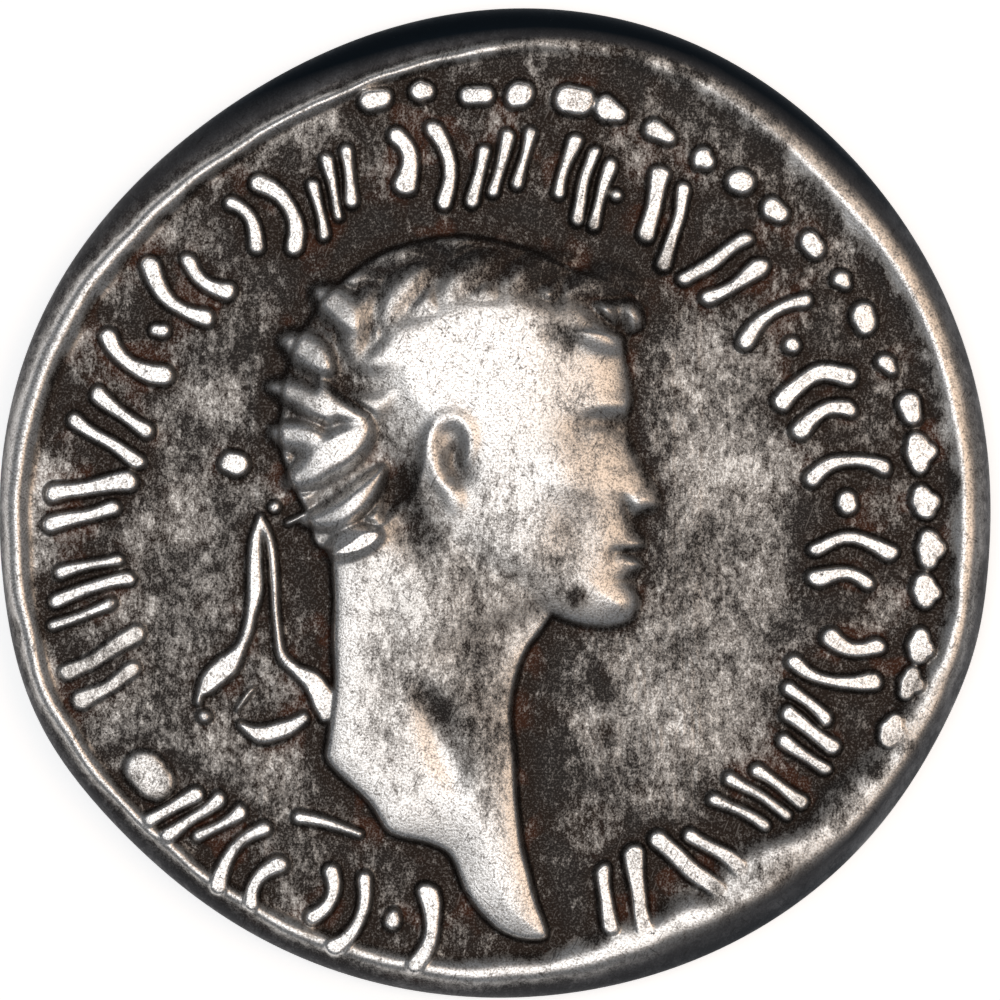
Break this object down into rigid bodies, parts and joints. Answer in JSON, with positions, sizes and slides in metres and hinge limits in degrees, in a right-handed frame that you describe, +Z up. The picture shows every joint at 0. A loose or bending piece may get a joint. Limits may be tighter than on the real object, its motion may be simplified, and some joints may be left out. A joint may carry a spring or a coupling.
{
  "type": "denarius coin",
  "caption": "Small struck silver coin with a wreathed head in profile, ring of strokes and beads; garlanded altar on the other side.",
  "frame": {"origin": "under the middle of the coin, on the surface that it lies on", "axes": "+Z up out of the obverse, the side with the head; the head stands upright along +Y and faces +X; the coin lies on its reverse"},
  "size_m": [0.019, 0.019, 0.0018],
  "materials": {
    "silver": "satin"
  },
  "bodies": {
    "root": {"coin": "silver"}
  },
  "joints": []
}
